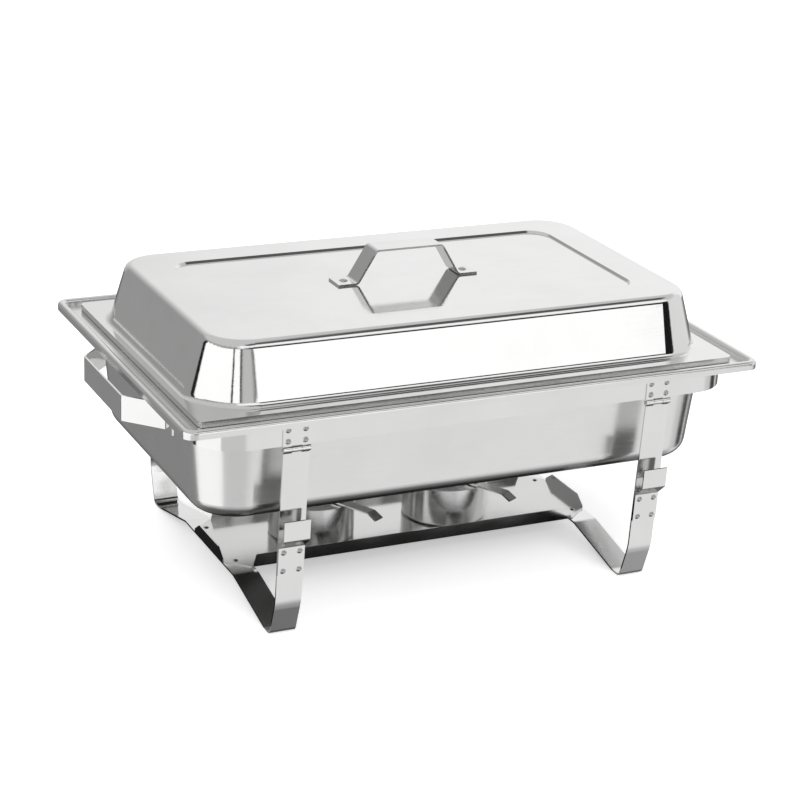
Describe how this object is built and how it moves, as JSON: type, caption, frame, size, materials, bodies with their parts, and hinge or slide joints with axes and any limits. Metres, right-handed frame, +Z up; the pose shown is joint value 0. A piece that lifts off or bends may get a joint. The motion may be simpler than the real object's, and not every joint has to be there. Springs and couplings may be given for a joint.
{
  "type": "chafing dish",
  "caption": "Rectangular chafing dish: lid, food pan and water pan in a frame with hinged legs on a lower stand that carries lidded fuel cups.",
  "frame": {"origin": "on the surface it stands on, under the middle of the dish", "axes": "+X along the length to the right end, +Y to the back, +Z up"},
  "size_m": [0.626, 0.395, 0.318],
  "materials": {
    "polished_steel": "mirror-polished stainless steel",
    "frame_steel": "bright polished stainless flat bar and sheet",
    "cup_steel": "spun satin stainless steel",
    "rivet_steel": "plain steel rivets and pins"
  },
  "bodies": {
    "stand": {"base_strap_left": "frame_steel", "base_strap_right": "frame_steel", "leg_hook_rivets": "rivet_steel", "fuel_tray": "frame_steel", "tray_rivets": "rivet_steel", "leg_hook_front_left": "frame_steel", "leg_hook_front_right": "frame_steel", "leg_hook_back_left": "frame_steel", "leg_hook_back_right": "frame_steel"},
    "frame": {"frame_band": "frame_steel", "end_handle_left": "frame_steel", "end_handle_right": "frame_steel", "end_handle_rivets": "rivet_steel", "hinge_plate_rivets": "rivet_steel", "hinge_plate_front_left": "frame_steel", "hinge_plate_front_right": "frame_steel", "hinge_plate_back_left": "frame_steel", "hinge_plate_back_right": "frame_steel", "hinge_pin_front_left": "rivet_steel", "hinge_pin_front_right": "rivet_steel", "hinge_pin_back_left": "rivet_steel", "hinge_pin_back_right": "rivet_steel"},
    "leg_front_left": {"leg_front_left": "frame_steel"},
    "leg_front_right": {"leg_front_right": "frame_steel"},
    "leg_back_left": {"leg_back_left": "frame_steel"},
    "leg_back_right": {"leg_back_right": "frame_steel"},
    "water_pan": {"water_pan": "polished_steel"},
    "food_pan": {"food_pan": "polished_steel"},
    "lid": {"lid": "polished_steel", "lid_handle": "frame_steel", "lid_handle_rivets": "rivet_steel"},
    "fuel_cup_left": {"fuel_cup_left": "cup_steel", "cup_cap_left": "cup_steel", "snuffer_pivot_left": "rivet_steel"},
    "snuffer_left": {"snuffer_disc_left": "cup_steel", "snuffer_handle_left": "cup_steel"},
    "fuel_cup_right": {"fuel_cup_right": "cup_steel", "cup_cap_right": "cup_steel", "snuffer_pivot_right": "rivet_steel"},
    "snuffer_right": {"snuffer_disc_right": "cup_steel", "snuffer_handle_right": "cup_steel"}
  },
  "joints": [
    {"name": "frame_lift", "type": "slide", "parent": "stand", "child": "frame", "axis": [0, 0, 1], "range_m": [0, 0.15]},
    {"name": "water_pan_lift", "type": "slide", "parent": "frame", "child": "water_pan", "axis": [0, 0, 1], "range_m": [0, 0.15]},
    {"name": "food_pan_lift", "type": "slide", "parent": "water_pan", "child": "food_pan", "axis": [0, 0, 1], "range_m": [0, 0.12]},
    {"name": "lid_lift", "type": "slide", "parent": "food_pan", "child": "lid", "axis": [0, 0, 1], "range_m": [0, 0.15]},
    {"name": "leg_front_left_fold", "type": "hinge", "parent": "frame", "child": "leg_front_left", "pos_m": [-0.1898, -0.1876, 0.1958], "axis": [1, 0, 0], "range_deg": [0, 15]},
    {"name": "leg_front_right_fold", "type": "hinge", "parent": "frame", "child": "leg_front_right", "pos_m": [0.1898, -0.1876, 0.1958], "axis": [1, 0, 0], "range_deg": [0, 15]},
    {"name": "leg_back_left_fold", "type": "hinge", "parent": "frame", "child": "leg_back_left", "pos_m": [-0.1898, 0.1876, 0.1958], "axis": [-1, 0, 0], "range_deg": [0, 15]},
    {"name": "leg_back_right_fold", "type": "hinge", "parent": "frame", "child": "leg_back_right", "pos_m": [0.1898, 0.1876, 0.1958], "axis": [-1, 0, 0], "range_deg": [0, 15]},
    {"name": "fuel_cup_left_lift", "type": "slide", "parent": "stand", "child": "fuel_cup_left", "axis": [0, 0, 1], "range_m": [0, 0.045]},
    {"name": "snuffer_left_swing", "type": "hinge", "parent": "fuel_cup_left", "child": "snuffer_left", "pos_m": [-0.07416, -0.03355, 0.063], "axis": [0, 0, 1], "range_deg": [0, 100]},
    {"name": "fuel_cup_right_lift", "type": "slide", "parent": "stand", "child": "fuel_cup_right", "axis": [0, 0, 1], "range_m": [0, 0.045]},
    {"name": "snuffer_right_swing", "type": "hinge", "parent": "fuel_cup_right", "child": "snuffer_right", "pos_m": [0.07584, -0.03355, 0.063], "axis": [0, 0, 1], "range_deg": [0, 100]}
  ]
}
